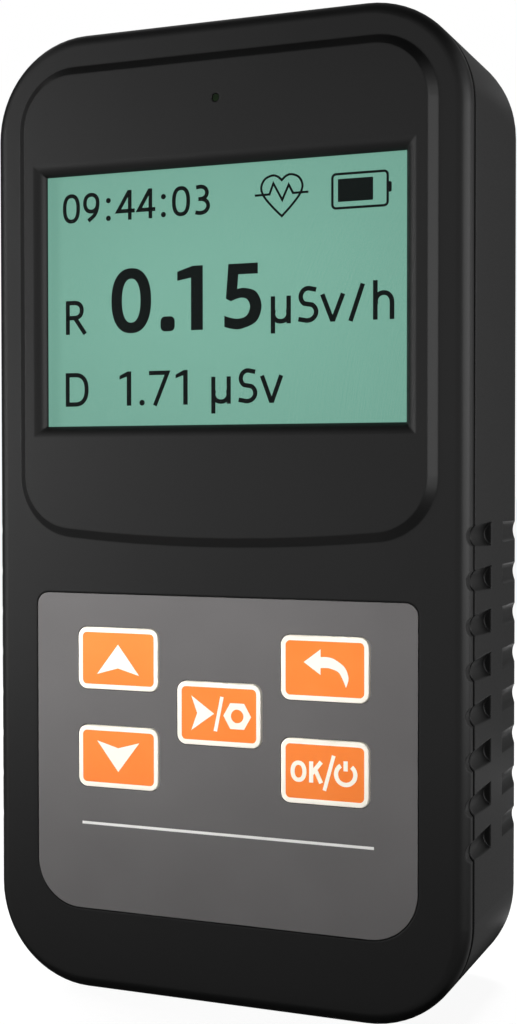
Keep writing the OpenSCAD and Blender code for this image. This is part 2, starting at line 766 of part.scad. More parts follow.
module microcontroller() color("#202022") upright() translate([battery_x, chip_y, board_back]) {
  translate([-chip_w / 2, -chip_w / 2, 0]) cube([chip_w, chip_w, chip_t]);
  for (turn = [0 : 90 : 270], i = [0 : chip_lead_count - 1]) rotate([0, 0, turn])
    translate([chip_w / 2 - eps, (i - (chip_lead_count - 1) / 2) * chip_lead_pitch - chip_lead_w / 2, 0])
      cube([chip_lead_l, chip_lead_w, chip_lead_w]);
}

// Parts soldered to the back of the board: two capacitors, two rows of resistors and a choke
module board_components() color("#8a7a55") upright() translate([0, 0, board_back]) {
  for (side = [-1, 1]) translate([battery_x + side * capacitor_side, battery_y0 + capacitor_d, 0])
    cylinder(d = capacitor_d, h = capacitor_h);
  for (end = [-1, 1], i = [0 : resistor_count - 1])
    translate([battery_x + (i - (resistor_count - 1) / 2) * resistor_pitch - resistor_l / 2,
      chip_y + end * (chip_w / 2 + chip_lead_l + resistor_gap) - resistor_w / 2, 0])
      cube([resistor_l, resistor_w, resistor_t]);
  translate([transformer_x + transformer_w / 2 + choke_gap, transformer_y - choke_l / 2, 0])
    cube([choke_w, choke_l, choke_h]);
}

module battery() color("#3b6ea5") upright()
  translate([battery_x, battery_y0, battery_z0 + battery_t / 2]) rotate([-90, 0, 0])
    linear_extrude(battery_len) rounded(battery_w, battery_t, battery_r);

module battery_tape() color("#e8e4d8") upright()
  translate([battery_x - battery_w / 2 + tape_in, battery_y0 + tape_in, battery_z0 + battery_t])
    cube([battery_w - 2 * tape_in, battery_len - 2 * tape_in, tape_t]);

// Two leads that rise from the battery, step forward and enter the connector
module battery_leads() color("#b0271f") upright() {
  rise = (connector_y - battery_y1 - 2 * lead_bend) / 2;
  run = lead_out - lead_in - 2 * lead_bend;
  for (side = [-1, 1]) translate([connector_x + side * lead_step / 2, 0, 0]) rotate([0, -90, 0]) {
    translate([lead_out, battery_y1, 0]) rotate([-90, 0, 0]) cylinder(d = lead_d, h = rise);
    translate([lead_out - lead_bend, battery_y1 + rise, 0])
      rotate_extrude(angle = 90) translate([lead_bend, 0]) circle(d = lead_d);
    translate([lead_in + lead_bend, battery_y1 + rise + lead_bend, 0])
      rotate([0, 90, 0]) cylinder(d = lead_d, h = run);
    translate([lead_in + lead_bend, connector_y - rise, 0]) rotate([0, 0, 180])
      rotate_extrude(angle = 90) translate([lead_bend, 0]) circle(d = lead_d);
    translate([lead_in, connector_y - rise, 0]) rotate([-90, 0, 0]) cylinder(d = lead_d, h = rise);
  }
}

module battery_connector() color("#efece2") upright()
  translate([connector_x - connector_w / 2, connector_y, board_back])
    cube([connector_w, connector_l, connector_t]);

module buzzer() color("#19191b") upright() translate([buzzer_x, buzzer_y, board_back]) difference() {
  rotate_extrude() edge_section(buzzer_d / 2, 0, buzzer_h, 0, buzzer_round);
  translate([0, 0, buzzer_h / 2]) cylinder(d = buzzer_hole_d, h = buzzer_h);
}

module vibration_motor() color("#b9babd") upright() translate([motor_x, motor_y, board_back])
  rotate_extrude() edge_section(motor_d / 2, 0, motor_h, 0, motor_round);

module usb_socket() color("#b5b7ba") upright() translate([0, usb_set, usb_z]) rotate([-90, 0, 0])
  difference() {
    linear_extrude(usb_len) rounded(usb_w, usb_t, usb_corner);
    translate([0, 0, -past]) linear_extrude(usb_len - usb_back_t + past)
      rounded(usb_w - 2 * usb_shell_t, usb_t - 2 * usb_shell_t, usb_corner - usb_shell_t);
  }

module usb_tongue() color("#18181a") upright()
  translate([-tongue_w / 2, usb_set + tongue_set, usb_z - tongue_t / 2])
    cube([tongue_w, usb_len - usb_back_t - tongue_set, tongue_t]);

module indicator_led() color("#9fd8a0") upright() translate([0, lamp_y, board_z - led_t])
  translate([-led_w / 2, -led_h / 2, 0]) cube([led_w, led_h, led_t]);

// A stepped rod that carries the lamp's light to the bezel
module light_pipe() color("#1f3d2a") upright() translate([0, lamp_y, 0]) {
  translate([0, 0, lamp_set - bezel_raise])
    cylinder(d = lamp_d, h = wall + bezel_raise - lamp_set + eps);
  translate([0, 0, wall]) cylinder(d = lamp_d + 2 * lamp_flange_w, h = lamp_flange_t);
  translate([0, 0, wall]) cylinder(d = lamp_d + 2 * lamp_rod_w, h = board_z - led_t - lamp_set - wall);
}

front_case();
rear_case();
display_window();
lcd_glass();
lcd_backlight();
lcd_pins();
keypad_overlay();
up_key();
down_key();
set_key();
back_key();
ok_key();
up_plunger();
down_plunger();
set_plunger();
back_plunger();
ok_plunger();
tact_switches();
switch_covers();
main_board();
board_screws();
case_screws();
tube_glass();
tube_cathode();
tube_anode();
tube_caps();
tube_clips();
hv_transformer();
microcontroller();
board_components();
battery();
battery_tape();
battery_leads();
battery_connector();
buzzer();
vibration_motor();
usb_socket();
usb_tongue();
indicator_led();
light_pipe();
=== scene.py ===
import math

import bmesh
import bpy
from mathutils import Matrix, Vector


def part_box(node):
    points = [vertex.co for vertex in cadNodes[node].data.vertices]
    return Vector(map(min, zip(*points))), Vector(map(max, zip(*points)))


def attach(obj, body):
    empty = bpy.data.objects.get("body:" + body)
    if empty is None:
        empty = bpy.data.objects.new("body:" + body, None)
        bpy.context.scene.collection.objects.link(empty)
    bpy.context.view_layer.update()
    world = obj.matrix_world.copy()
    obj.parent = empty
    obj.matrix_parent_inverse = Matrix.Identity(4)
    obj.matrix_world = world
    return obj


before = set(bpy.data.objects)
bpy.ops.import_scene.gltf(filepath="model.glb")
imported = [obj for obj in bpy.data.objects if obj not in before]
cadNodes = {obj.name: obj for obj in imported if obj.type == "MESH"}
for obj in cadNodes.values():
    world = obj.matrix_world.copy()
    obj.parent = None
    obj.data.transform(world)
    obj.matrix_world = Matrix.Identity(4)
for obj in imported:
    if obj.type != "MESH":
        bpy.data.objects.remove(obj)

mm = 0.001
scene = bpy.context.scene
scene.view_settings.view_transform = "Standard"
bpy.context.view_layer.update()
print("frame loaded,", len(cadNodes), "nodes")

# camera, off the right edge of the front and a little above the middle
cameraSetup = {
    "place": (0.07755, -0.19102, 0.06515),  # m
    "turn": (88.618, 0.040, 22.087),  # degrees about X, Y and Z
    "lens": 56.43,  # mm, on the usual 36 mm sensor
    "nearest": 0.01,  # m
}


def makeCamera(setup):
    lensData = bpy.data.cameras.new("benchCamera")
    lensData.lens = setup["lens"]
    lensData.clip_start = setup["nearest"]
    camera = bpy.data.objects.new("benchCamera", lensData)
    camera.location = setup["place"]
    camera.rotation_euler = [math.radians(angle) for angle in setup["turn"]]
    scene.collection.objects.link(camera)
    scene.camera = camera


makeCamera(cameraSetup)
print("camera set")

# studio: white air, a pale floor that keeps the shadow, and soft boxes
studio = {
    "airWhite": (1.0, 1.0, 1.0),
    "airLevel": 0.05,  # what the room gives to matt surfaces
    "floorReach": 4.0,  # m each way
    "floorGlow": 0.94,  # the even share of the floor's white
    "floorPaint": 0.12,  # the share that takes light and shadow
}
# places and sizes in m, spread in degrees
softBoxes = {
    "leftSoftBox": {
        "place": (-0.215, -0.205, 0.085), "aim": (-0.018, -0.013, 0.080),
        "size": (0.10, 0.10), "watts": 0.120, "spread": 41, "glossy": False, "matt": True,
    },
    "rightSoftBox": {
        "place": (0.330, -0.060, 0.075), "aim": (0.030, -0.010, 0.065),
        "size": (0.40, 0.30), "watts": 1.50, "spread": 180, "glossy": True, "matt": False,
    },
    # the two at the back light the sides that the camera doesn't see
    "leftBackSoftBox": {
        "place": (-0.300, 0.120, 0.100), "aim": (-0.031, 0.000, 0.060),
        "size": (0.20, 0.20), "watts": 2.0, "spread": 180, "glossy": False, "matt": True,
    },
    "topBackSoftBox": {
        "place": (0.000, 0.120, 0.450), "aim": (0.000, 0.000, 0.120),
        "size": (0.20, 0.20), "watts": 2.5, "spread": 180, "glossy": False, "matt": True,
    },
}
# cards hold the white room off the dark case; some glow, and those that are not matt show
# only in reflections
cardBlack = 0.004  # base level of a card
cards = {
    "leftCard": {"corners": [(-0.12, -0.05, 0.05), (-0.12, 0.16, 0.05), (-0.12, 0.16, 0.2),
                             (-0.12, -0.05, 0.2)], "glow": 0.0, "matt": True},
    "leftLowCard": {"corners": [(-0.12, -0.05, 0), (-0.12, 0.16, 0), (-0.12, 0.16, 0.05),
                                (-0.12, -0.05, 0.05)], "glow": 0.12, "matt": True},
    "topCard": {"corners": [(-0.2, -0.36, 0.3), (0.2, -0.36, 0.3), (0.2, 0.2, 0.3),
                            (-0.2, 0.2, 0.3)], "glow": 0.0, "matt": True},
    "rightCard": {"corners": [(0.03, 0.155, 0), (0.12, 0.147, 0), (0.12, 0.147, 0.16),
                              (0.03, 0.155, 0.16)], "glow": 0.14, "matt": True},
    "highCard": {"corners": [(-0.15, 0.17, 0.16), (0.20, 0.14, 0.16), (0.20, 0.14, 0.4),
                             (-0.15, 0.17, 0.4)], "glow": 0.20, "matt": True},
    "leftGlowCard": {"corners": [(-0.165, -0.25, 0), (-0.40, -0.20, 0), (-0.40, -0.20, 0.2),
                                 (-0.165, -0.25, 0.2)], "glow": 3.4, "matt": False},
    "topLeftCard": {"corners": [(-0.12, 0.02, 0.2), (-0.06, 0.02, 0.299), (-0.06, 0.5, 0.299),
                                (-0.12, 0.5, 0.2)], "glow": 0.45, "matt": False},
    "topBackCard": {"corners": [(-0.06, 0.02, 0.299), (0.2, 0.02, 0.299), (0.2, 0.5, 0.299),
                                (-0.06, 0.5, 0.299)], "glow": 0.16, "matt": False},
    "frontFloorCard": {"corners": [(-0.2, -0.15, 0.0002), (0.2, -0.15, 0.0002), (0.2, -0.015, 0.0002),
                                   (-0.2, -0.015, 0.0002)], "glow": 0.38, "matt": False},
    "sideFloorCard": {"corners": [(0.032, -0.015, 0.0002), (0.2, -0.015, 0.0002), (0.2, 0.14, 0.0002),
                                  (0.032, 0.14, 0.0002)], "glow": 0.22, "matt": False},
    # painted shade: a near-black card under the case, seen only in reflections, stands in for the
    # floor's shadow under it
    "underShadeCard": {"corners": [(-0.2, -0.015, 0.0002), (0.032, -0.015, 0.0002), (0.032, 0.03, 0.0002),
                              (-0.2, 0.03, 0.0002)], "glow": 0.02, "matt": False},
}


def seenDirectly(tree):
    # 1 for camera, glossy and transmission rays, so metal and glass show the white too
    path = tree.nodes.new("ShaderNodeLightPath")
    level = path.outputs["Is Camera Ray"]
    for kind in ("Is Glossy Ray", "Is Transmission Ray"):
        larger = tree.nodes.new("ShaderNodeMath")
        larger.operation = "MAXIMUM"
        tree.links.new(level, larger.inputs[0])
        tree.links.new(path.outputs[kind], larger.inputs[1])
        level = larger.outputs[0]
    return level


def makeWorld(setup):
    world = bpy.data.worlds.new("studioAir")
    world.use_nodes = True
    scene.world = world
    tree = world.node_tree
    air = tree.nodes["Background"]
    air.inputs["Color"].default_value = (*setup["airWhite"], 1)
    level = tree.nodes.new("ShaderNodeMapRange")
    level.inputs["To Min"].default_value = setup["airLevel"]
    level.inputs["To Max"].default_value = 1.0
    tree.links.new(seenDirectly(tree), level.inputs["Value"])
    tree.links.new(level.outputs["Result"], air.inputs["Strength"])


def makeFloor(setup):
    reach = setup["floorReach"]
    mesh = bpy.data.meshes.new("floor")
    corners = [(-reach, -reach, 0), (reach, -reach, 0), (reach, reach, 0), (-reach, reach, 0)]
    mesh.from_pydata(corners, [], [(0, 1, 2, 3)])
    floor = bpy.data.objects.new("floor", mesh)
    scene.collection.objects.link(floor)
    paint = bpy.data.materials.new("floorPaint")
    paint.use_nodes = True
    tree = paint.node_tree
    tree.nodes.clear()
    matt = tree.nodes.new("ShaderNodeBsdfDiffuse")
    paintLevel = setup["floorPaint"]
    matt.inputs["Color"].default_value = (paintLevel, paintLevel, paintLevel, 1)
    glow = tree.nodes.new("ShaderNodeEmission")
    level = tree.nodes.new("ShaderNodeMath")
    level.operation = "MULTIPLY"
    level.inputs[1].default_value = setup["floorGlow"]
    both = tree.nodes.new("ShaderNodeAddShader")
    out = tree.nodes.new("ShaderNodeOutputMaterial")
    tree.links.new(seenDirectly(tree), level.inputs[0])
    tree.links.new(level.outputs[0], glow.inputs["Strength"])
    tree.links.new(matt.outputs[0], both.inputs[0])
    tree.links.new(glow.outputs[0], both.inputs[1])
    tree.links.new(both.outputs[0], out.inputs["Surface"])
    mesh.materials.append(paint)


def makeSoftBox(name, box):
    lampData = bpy.data.lights.new(name, "AREA")
    lampData.shape = "RECTANGLE"
    lampData.size, lampData.size_y = box["size"]
    lampData.energy = box["watts"]
    lampData.spread = math.radians(box["spread"])
    lamp = bpy.data.objects.new(name, lampData)
    lamp.location = box["place"]
    way = Vector(box["aim"]) - Vector(box["place"])
    lamp.rotation_euler = way.to_track_quat("-Z", "Y").to_euler()
    lamp.visible_camera = False
    lamp.visible_glossy = box["glossy"]
    lamp.visible_diffuse = box["matt"]
    scene.collection.objects.link(lamp)


def makeCard(name, card):
    mesh = bpy.data.meshes.new(name)
    mesh.from_pydata(card["corners"], [], [(0, 1, 2, 3)])
    stand = bpy.data.objects.new(name, mesh)
    stand.visible_camera = False
    stand.visible_shadow = False
    stand.visible_diffuse = card["matt"]
    board = bpy.data.materials.new(name + "Board")
    board.use_nodes = True
    shader = board.node_tree.nodes["Principled BSDF"]
    shader.inputs["Base Color"].default_value = (cardBlack, cardBlack, cardBlack, 1)
    shader.inputs["Specular IOR Level"].default_value = 0.0
    shader.inputs["Emission Color"].default_value = (1, 1, 1, 1)
    shader.inputs["Emission Strength"].default_value = card["glow"]
    mesh.materials.append(board)
    scene.collection.objects.link(stand)


makeWorld(studio)
makeFloor(studio)
for cardName, card in cards.items():
    makeCard(cardName, card)
for boxName, box in softBoxes.items():
    makeSoftBox(boxName, box)
print("studio lit by", len(softBoxes), "soft boxes and", len(cards), "cards")


# finishes: every look is a dictionary, colours are written as they should look, 0 to 255,
# and sizes are in mm
finishSetup = {
    "driftDetail": 2,
    "grainDetail": 3,
    "noiseRange": (0.3, 0.7),  # the part of a noise that is spread over a whole range
    "speckRange": (0.45, 0.75),  # the part of the grain that turns into specks
    "speckShare": 0.5,
    "edgeSamples": 6,
    "backlightRange": (0.4, 1.4),  # shares of the reach between which the light falls off
}


def paintOf(colour):
    # screen levels to linear light
    shares = [value / 255 for value in colour]
    return [s / 12.92 if s <= 0.04045 else ((s + 0.055) / 1.055) ** 2.4 for s in shares] + [1.0]


def addNoise(tree, place, grainSize, detail):
    noise = tree.nodes.new("ShaderNodeTexNoise")
    noise.inputs["Scale"].default_value = 1 / (grainSize * mm)
    noise.inputs["Detail"].default_value = detail
    tree.links.new(place, noise.inputs["Vector"])
    return noise.outputs["Fac"]


def addRange(tree, value, low, high, source=finishSetup["noiseRange"]):
    span = tree.nodes.new("ShaderNodeMapRange")
    span.inputs["From Min"].default_value = source[0]
    span.inputs["From Max"].default_value = source[1]
    span.inputs["To Min"].default_value = low
    span.inputs["To Max"].default_value = high
    tree.links.new(value, span.inputs["Value"])
    return span.outputs["Result"]


def addColourMix(tree, share, first, second):
    mix = tree.nodes.new("ShaderNodeMix")
    mix.data_type = "RGBA"
    colourSockets = [socket for socket in mix.inputs if socket.type == "RGBA"]
    for socket, colour in zip(colourSockets, (first, second)):
        if isinstance(colour, bpy.types.NodeSocket):
            tree.links.new(colour, socket)
        else:
            socket.default_value = paintOf(colour)
    tree.links.new(share, mix.inputs[0])
    return [socket for socket in mix.outputs if socket.type == "RGBA"][0]


def addBacklight(tree, shader, place, backlight):
    # light from behind, a little weaker towards the edges of the display
    toMiddle = tree.nodes.new("ShaderNodeVectorMath")
    toMiddle.operation = "SUBTRACT"
    toMiddle.inputs[1].default_value = [value * mm for value in backlight["middle"]]
    toShare = tree.nodes.new("ShaderNodeVectorMath")
    toShare.operation = "MULTIPLY"
    toShare.inputs[1].default_value = [1 / (value * mm) for value in backlight["reach"]]
    length = tree.nodes.new("ShaderNodeVectorMath")
    length.operation = "LENGTH"
    tree.links.new(place, toMiddle.inputs[0])
    tree.links.new(toMiddle.outputs[0], toShare.inputs[0])
    tree.links.new(toShare.outputs[0], length.inputs[0])
    share = addRange(tree, length.outputs["Value"], 0, 1, finishSetup["backlightRange"])
    colour = addColourMix(tree, share, backlight["colour"], backlight["edgeColour"])
    tree.links.new(colour, shader.inputs["Emission Color"])
    shader.inputs["Emission Strength"].default_value = 1.0


def makeFinish(name, look):
    finish = bpy.data.materials.new(name)
    finish.use_nodes = True
    tree = finish.node_tree
    shader = tree.nodes["Principled BSDF"]
    place = tree.nodes.new("ShaderNodeTexCoord").outputs["Object"]
    drift = addNoise(tree, place, look["driftSize"], finishSetup["driftDetail"])
    grain = addNoise(tree, place, look["grainSize"], finishSetup["grainDetail"])
    colour = addColourMix(tree, addRange(tree, drift, 0, 1), look["dark"], look["light"])
    if "speck" in look:
        share = addRange(tree, grain, 0, finishSetup["speckShare"], finishSetup["speckRange"])
        colour = addColourMix(tree, share, colour, look["speck"])
    tree.links.new(colour, shader.inputs["Base Color"])
    tree.links.new(addRange(tree, grain, *look["roughness"]), shader.inputs["Roughness"])
    bump = tree.nodes.new("ShaderNodeBump")
    bump.inputs["Strength"].default_value = 1.0
    bump.inputs["Distance"].default_value = look["bump"] * mm
    tree.links.new(grain, bump.inputs["Height"])
    if "edge" in look:
        edge = tree.nodes.new("ShaderNodeBevel")
        edge.samples = finishSetup["edgeSamples"]
        edge.inputs["Radius"].default_value = look["edge"] * mm
        tree.links.new(edge.outputs["Normal"], bump.inputs["Normal"])
    tree.links.new(bump.outputs["Normal"], shader.inputs["Normal"])
    # a glow makes the surface give off its own colour as light; on the keys' white print this is
    # painted light
    if "glow" in look:
        tree.links.new(colour, shader.inputs["Emission Color"])
        shader.inputs["Emission Strength"].default_value = look["glow"]
    if "backlight" in look:
        addBacklight(tree, shader, place, look["backlight"])
    for socket, value in look["fixed"].items():
        shader.inputs[socket].default_value = value
    return finish


looks = {
    "casePlastic": {
        "dark": (15, 15, 15), "light": (17, 17, 17), "driftSize": 18, "grainSize": 0.12,
        "roughness": (0.34, 0.42), "bump": 0.002, "edge": 0.3,
        "fixed": {"Specular IOR Level": 0.20},
    },
    "overlayFilm": {
        "dark": (95, 93, 93), "light": (101, 99, 99), "driftSize": 14, "grainSize": 0.10,
        "roughness": (0.50, 0.62), "bump": 0.003, "edge": 0.1,
        "fixed": {"Specular IOR Level": 0.25},
    },
    "keyOrange": {
        "dark": (252, 132, 54), "light": (255, 138, 60), "driftSize": 6, "grainSize": 0.10,
        "roughness": (0.42, 0.52), "bump": 0.002,
        "fixed": {"Specular IOR Level": 0.38},
    },
    "keyRubber": {
        "dark": (92, 90, 89), "light": (98, 96, 95), "driftSize": 6, "grainSize": 0.10,
        "roughness": (0.60, 0.70), "bump": 0.002,
        "fixed": {"Specular IOR Level": 0.10},
    },
    # white print on the keys with a painted glow: it gives off light of its own, so it stays bright
    # where the lamps' light falls off
    "keyWhitePaintedGlow": {
        "dark": (236, 229, 216), "light": (241, 235, 223), "driftSize": 6, "grainSize": 0.10,
        "roughness": (0.42, 0.52), "bump": 0.002, "glow": 0.20,
        "fixed": {"Specular IOR Level": 0.15},
    },
    "ruleWhite": {
        "dark": (229, 228, 225), "light": (235, 234, 231), "driftSize": 6, "grainSize": 0.10,
        "roughness": (0.50, 0.60), "bump": 0.002,
        "fixed": {"Specular IOR Level": 0.15},
    },
    "displayTeal": {
        "dark": (38, 56, 50), "light": (42, 60, 54), "driftSize": 9, "grainSize": 0.2,
        "roughness": (0.35, 0.45), "bump": 0.0005,
        "backlight": {"middle": (0, -11.2, 86.7), "reach": (24.0, 100.0, 16.0),
                      "colour": (122, 173, 156), "edgeColour": (114, 163, 147)},
        "fixed": {"Specular IOR Level": 0.05},
    },
    "displayInk": {
        "dark": (4, 5, 5), "light": (6, 7, 7), "driftSize": 5, "grainSize": 0.2,
        "roughness": (0.5, 0.6), "bump": 0.0005,
        "fixed": {"Specular IOR Level": 0.02, "Emission Color": paintOf((15, 20, 19)),
                  "Emission Strength": 1.0},
    },
    "windowAcrylic": {
        "dark": (12, 16, 15), "light": (16, 20, 19), "driftSize": 20, "grainSize": 1.5,
        "roughness": (0.06, 0.10), "bump": 0.0005,
        "fixed": {"Alpha": 0.03, "Specular IOR Level": 0.3},
    },
    "lampClear": {
        "dark": (10, 18, 8), "light": (16, 28, 12), "driftSize": 0.6, "grainSize": 0.2,
        "roughness": (0.16, 0.24), "bump": 0.001,
        "fixed": {"Specular IOR Level": 0.06},
    },
    "tinnedSteel": {
        "dark": (176, 178, 180), "light": (198, 199, 200), "driftSize": 2.5, "grainSize": 0.15,
        "roughness": (0.24, 0.36), "bump": 0.002,
        "fixed": {"Metallic": 1.0},
    },
    "innerBlack": {
        "dark": (24, 24, 25), "light": (32, 32, 33), "driftSize": 3, "grainSize": 0.1,
        "roughness": (0.45, 0.6), "bump": 0.003, "fixed": {"Specular IOR Level": 0.3},
    },
    "backlightWhite": {
        "dark": (226, 230, 226), "light": (238, 240, 236), "driftSize": 8, "grainSize": 0.3,
        "roughness": (0.3, 0.4), "bump": 0.001, "fixed": {"Specular IOR Level": 0.4},
    },
    "boardGreen": {
        "dark": (16, 70, 40), "light": (26, 92, 52), "driftSize": 4, "grainSize": 0.3,
        "speck": (34, 108, 62), "roughness": (0.3, 0.45), "bump": 0.004,
        "fixed": {"Specular IOR Level": 0.45},
    },
    "tubeGlass": {
        "dark": (196, 206, 204), "light": (214, 222, 220), "driftSize": 6, "grainSize": 0.8,
        "roughness": (0.03, 0.07), "bump": 0.001,
        "fixed": {"Transmission Weight": 0.92, "IOR": 1.47},
    },
    "tubeMetal": {
        "dark": (150, 152, 156), "light": (176, 178, 180), "driftSize": 3, "grainSize": 0.12,
        "roughness": (0.28, 0.42), "bump": 0.002, "fixed": {"Metallic": 1.0},
    },
    "clipBrass": {
        "dark": (178, 142, 74), "light": (204, 168, 96), "driftSize": 3, "grainSize": 0.15,
        "roughness": (0.25, 0.4), "bump": 0.002, "fixed": {"Metallic": 1.0},
    },
    "componentTan": {
        "dark": (150, 118, 78), "light": (178, 146, 104), "driftSize": 1.2, "grainSize": 0.1,
        "speck": (196, 168, 128), "roughness": (0.45, 0.6), "bump": 0.003, "fixed": {},
    },
    "batteryFoil": {
        "dark": (168, 172, 174), "light": (192, 196, 198), "driftSize": 5, "grainSize": 0.6,
        "roughness": (0.28, 0.44), "bump": 0.02, "fixed": {"Metallic": 0.85},
    },
    "foamTape": {
        "dark": (208, 206, 198), "light": (224, 222, 214), "driftSize": 2, "grainSize": 0.25,
        "speck": (190, 188, 180), "roughness": (0.8, 0.95), "bump": 0.03, "fixed": {},
    },
    "leadRed": {
        "dark": (168, 26, 22), "light": (196, 38, 30), "driftSize": 2, "grainSize": 0.12,
        "roughness": (0.4, 0.5), "bump": 0.002, "fixed": {},
    },
    "connectorWhite": {
        "dark": (226, 222, 208), "light": (238, 234, 222), "driftSize": 2, "grainSize": 0.12,
        "roughness": (0.4, 0.5), "bump": 0.002, "fixed": {},
    },
}
finishes = {name: makeFinish(name, look) for name, look in looks.items()}

keyNames = ("up", "down", "set", "back", "ok")
nodeFinishes = {
    "casePlastic": ("front_case", "rear_case"),
    "overlayFilm": ("keypad_overlay",),
    "keyOrange": [name + "_key" for name in keyNames],
    "displayTeal": ("lcd_glass",),
    "windowAcrylic": ("display_window",),
    "lampClear": ("light_pipe", "indicator_led"),
    "tinnedSteel": ("case_screws", "board_screws", "lcd_pins", "switch_covers", "usb_socket",
                    "vibration_motor"),
    "innerBlack": [name + "_plunger" for name in keyNames]
    + ["tact_switches", "microcontroller", "hv_transformer", "buzzer", "usb_tongue"],
    "backlightWhite": ("lcd_backlight",),
    "boardGreen": ("main_board",),
    "tubeGlass": ("tube_glass",),
    "tubeMetal": ("tube_cathode", "tube_anode", "tube_caps"),
    "clipBrass": ("tube_clips",),
    "componentTan": ("board_components",),
    "batteryFoil": ("battery",),
    "foamTape": ("battery_tape",),
    "leadRed": ("battery_leads",),
    "connectorWhite": ("battery_connector",),
}
for finishName, nodeNames in nodeFinishes.items():
    for nodeName in nodeNames:
        mesh = cadNodes[nodeName].data
        mesh.materials.clear()
        mesh.materials.append(finishes[finishName])
# behind its cap a key is plain grey rubber
capDepth = 0.35  # mm
for name in keyNames:
    mesh = cadNodes[name + "_key"].data
    mesh.materials.append(finishes["keyRubber"])
    front = min(corner.co.y for corner in mesh.vertices)
    for face in mesh.polygons:
        face.material_index = int(face.center.y > front + capDepth * mm)
unfinished = set(cadNodes) - {name for names in nodeFinishes.values() for name in names}
print("finishes set on", len(cadNodes) - len(unfinished), "nodes, left over:", sorted(unfinished))


# flat shapes, in mm on the front: x to the right and z up
sharpestCorner = 0.45  # cosine of half the angle that a line turns by; past it a corner is cut short
dotSteps = 24


def arcPoints(centre, radii, fromAngle, toAngle, steps=12, squareness=2.0):
    # squareness 2 is an ellipse, more is squarer
    spots = []
    for i in range(steps + 1):
        angle = math.radians(fromAngle + (toAngle - fromAngle) * i / steps)
        c, s = math.cos(angle), math.sin(angle)
        spots.append((
            centre[0] + radii[0] * math.copysign(abs(c) ** (2 / squareness), c),
            centre[1] + radii[1] * math.copysign(abs(s) ** (2 / squareness), s),
        ))
    return spots


def ovalPoints(centre, radii, squareness=2.0, steps=48):
    return arcPoints(centre, radii, 0, 360, steps, squareness)[:-1]


def roundedLoop(low, high, radius, perCorner=8):
    corners = (
        ((high[0] - radius, high[1] - radius), 0), ((low[0] + radius, high[1] - radius), 90),
        ((low[0] + radius, low[1] + radius), 180), ((high[0] - radius, low[1] + radius), 270),
    )
    spots = []
    for centre, start in corners:
        spots += arcPoints(centre, (radius, radius), start, start + 90, perCorner)
    return spots


def curveThrough(points, perSpan=8):
    # one smooth line through every point
    spots = []
    last = len(points) - 1
    for i in range(last):
        a, b, c, d = (points[max(i - 1, 0)], points[i], points[i + 1], points[min(i + 2, last)])
        for step in range(perSpan):
            t = step / perSpan
            spots.append(tuple(
                0.5 * (2 * b[k] + (c[k] - a[k]) * t + (2 * a[k] - 5 * b[k] + 4 * c[k] - d[k]) * t * t
                       + (3 * b[k] - a[k] - 3 * c[k] + d[k]) * t ** 3)
                for k in (0, 1)))
    spots.append(tuple(points[last]))
    return spots


def bandSides(points, width, closed=False):
    # the two long sides of a band of even width along the points
    left, right = [], []
    count = len(points)
    for i, (x, z) in enumerate(points):
        ways = []
        for j in (i - 1, i):
            if closed or 0 <= j < count - 1:
                start, end = points[j % count], points[(j + 1) % count]
                length = math.hypot(end[0] - start[0], end[1] - start[1])
                ways.append(((end[0] - start[0]) / length, (end[1] - start[1]) / length))
        across = (-sum(way[1] for way in ways), sum(way[0] for way in ways))
        size = math.hypot(*across)
        # across is as long as that cosine times the number of ways
        reach = width / 2 / max(size / len(ways), sharpestCorner) / size
        left.append((x + across[0] * reach, z + across[1] * reach))
        right.append((x - across[0] * reach, z - across[1] * reach))
    return left, right


def addBand(work, left, right, depth, closed=False):
    rows = []
    for (leftX, leftZ), (rightX, rightZ) in zip(left, right):
        spots = ((leftX, depth[0], leftZ), (rightX, depth[0], rightZ),
                 (rightX, depth[1], rightZ), (leftX, depth[1], leftZ))
        rows.append([work.verts.new(spot) for spot in spots])
    pairs = list(zip(rows, rows[1:]))
    if closed:
        pairs.append((rows[-1], rows[0]))
    for near, far in pairs:
        for i in range(4):
            j = (i + 1) % 4
            work.faces.new((near[i], near[j], far[j], far[i]))
    if not closed:
        work.faces.new(rows[0])
        work.faces.new(rows[-1])


def addStroke(work, points, width, depth, closed=False):
    left, right = bandSides(points, width, closed)
    addBand(work, left, right, depth, closed)


def addPlate(work, outline, depth):
    fore = [work.verts.new((x, depth[0], z)) for x, z in outline]
    rear = [work.verts.new((x, depth[1], z)) for x, z in outline]
    work.faces.new(fore)
    work.faces.new(rear[::-1])
    for i in range(len(outline)):
        j = (i + 1) % len(outline)
        work.faces.new((fore[i], fore[j], rear[j], rear[i]))


def addDot(work, centre, radius, depth):
    addPlate(work, ovalPoints(centre, (radius, radius), steps=dotSteps), depth)


def makePiece(name, work, finishName, body):
    bmesh.ops.recalc_face_normals(work, faces=work.faces)
    bmesh.ops.scale(work, vec=(mm, mm, mm), verts=work.verts)
    mesh = bpy.data.meshes.new(name)
    work.to_mesh(mesh)
    work.free()
    mesh.materials.append(finishes[finishName])
    piece = bpy.data.objects.new(name, mesh)
    scene.collection.objects.link(piece)
    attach(piece, body)


# display: figures in front of the glass
inkProud, inkSunk = 0.03, 0.01  # mm in front of the glass and in it
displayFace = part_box("lcd_glass")[0].y / mm
figureDepth = (displayFace - inkProud, displayFace + inkSunk)
strokeLift = 0.003  # mm between strokes that cross

